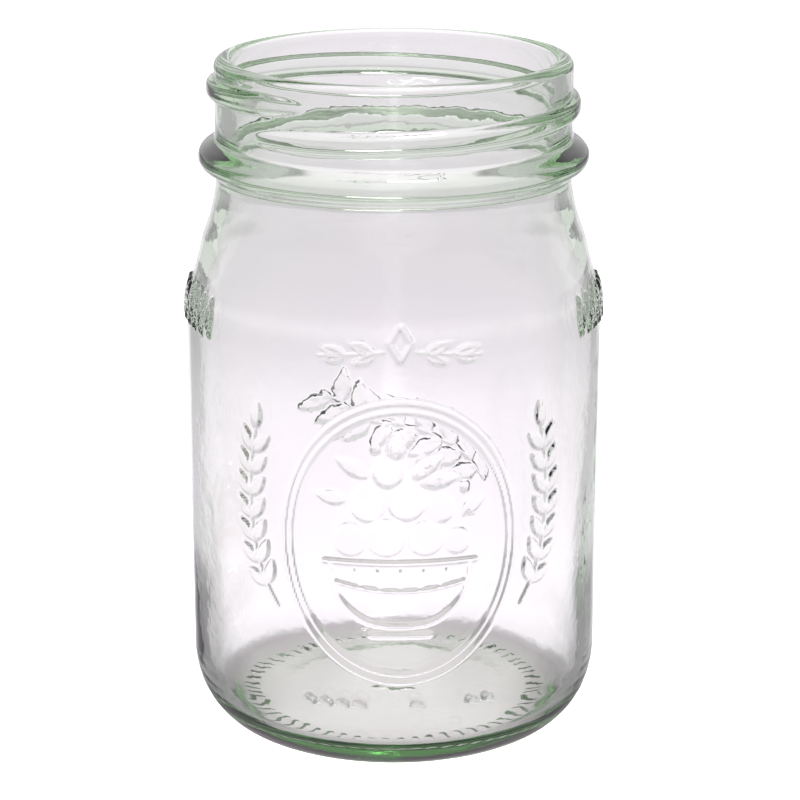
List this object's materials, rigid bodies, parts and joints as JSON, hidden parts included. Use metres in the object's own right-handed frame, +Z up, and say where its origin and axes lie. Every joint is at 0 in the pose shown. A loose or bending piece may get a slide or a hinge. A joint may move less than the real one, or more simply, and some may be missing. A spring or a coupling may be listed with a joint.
{
  "type": "mason jar",
  "caption": "Clear glass canning jar with a screw-thread mouth, neck bead, rounded heel and raised ornament, with its screw band, flat lid and seal lying beside it.",
  "frame": {"origin": "on the jar's axis, in the plane that the jar stands on; the underside's flat panel is 0.6 mm above it", "axes": "+Z up along the jar's axis, out of the mouth; +X from the closure on the table towards the jar; the front ornament faces -Y"},
  "size_m": [0.1941, 0.078, 0.1285],
  "materials": {
    "jar_glass": "clear pressed glass, green in its thick places",
    "band_tinplate": "bright tinplate",
    "lid_enamel": "white enamelled tinplate",
    "seal_compound": "matte sealing compound"
  },
  "bodies": {
    "jar": {"glass_jar": "jar_glass"},
    "band": {"screw_band": "band_tinplate"},
    "lid": {"lid_disc": "lid_enamel", "sealing_ring": "seal_compound"}
  },
  "joints": [
    {"name": "band_lift", "type": "slide", "parent": "jar", "child": "band", "axis": [0, 0, 1], "range_m": [0, 0.15]},
    {"name": "lid_lift", "type": "slide", "parent": "band", "child": "lid", "axis": [0, 0, 1], "range_m": [0, 0.04]}
  ]
}
